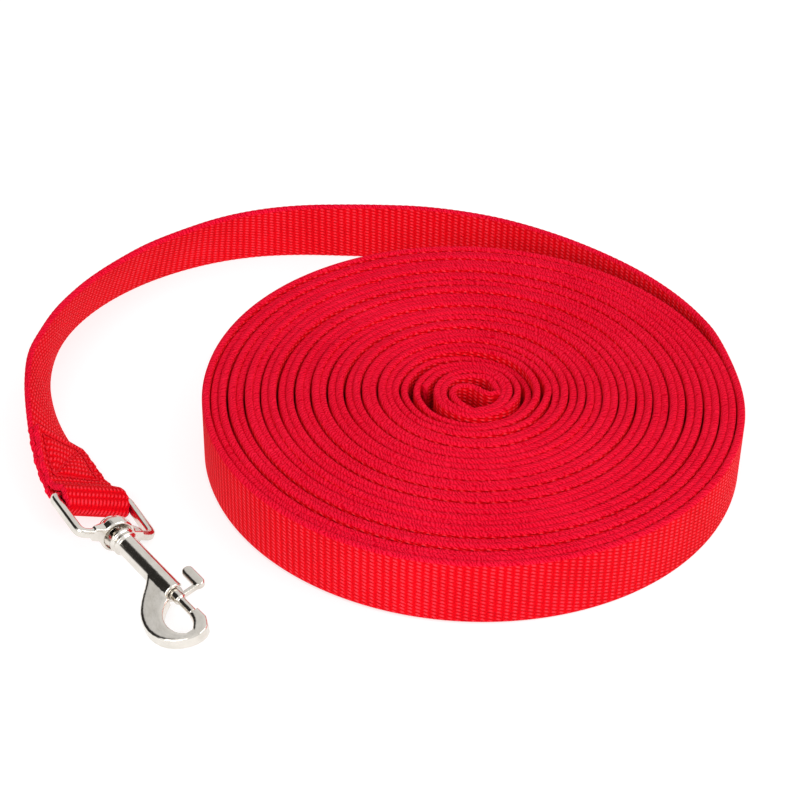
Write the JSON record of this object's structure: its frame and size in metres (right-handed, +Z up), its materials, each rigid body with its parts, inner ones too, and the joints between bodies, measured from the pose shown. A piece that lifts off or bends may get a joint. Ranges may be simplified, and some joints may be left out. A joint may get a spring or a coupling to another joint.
{
  "type": "training leash",
  "caption": "Long training leash: flat woven webbing wound on edge into a round roll, its free end sewn to a nickel-plated swivel bolt snap.",
  "frame": {"origin": "middle of the outline seen from above, on the surface that the roll and the snap lie on", "axes": "+Z up out of that surface, along the axis of the roll; +X towards the roll from the free end; +Y away from the snap"},
  "size_m": [0.2558, 0.2386, 0.0252],
  "materials": {
    "webbing": "ribbed woven polyester webbing, satin sheen",
    "thread": "twisted polyester sewing thread",
    "nickel_plate": "polished nickel plate over a zinc casting",
    "spring_steel": "drawn spring wire"
  },
  "bodies": {
    "lead": {"webbing_roll": "webbing", "handle_loop": "webbing", "free_webbing": "webbing", "snap_end_loop": "webbing", "snap_end_needle_thread": "thread", "snap_end_bobbin_thread": "thread", "handle_needle_thread": "thread"},
    "eye": {"swivel_eye": "nickel_plate"},
    "snap": {"snap_body": "nickel_plate", "bolt_spring": "spring_steel"},
    "bolt": {"bolt": "nickel_plate"}
  },
  "joints": [
    {"name": "eye_pivot", "type": "hinge", "parent": "lead", "child": "eye", "pos_m": [-0.09803, -0.05377, 0.00953], "axis": [-0.7654, -0.4777, 0.4313], "range_deg": [-90, 90]},
    {"name": "swivel", "type": "hinge", "parent": "eye", "child": "snap", "pos_m": [-0.08727, -0.07133, 0.00918], "axis": [0.6345, -0.7697, -0.0698], "continuous": true},
    {"name": "bolt_slide", "type": "slide", "parent": "snap", "child": "bolt", "axis": [-0.6345, 0.7697, 0.0698], "range_m": [0, 0.0093], "stiffness_N_per_m": 150, "springref_m": -0.006, "deforming": ["bolt_spring"]}
  ]
}
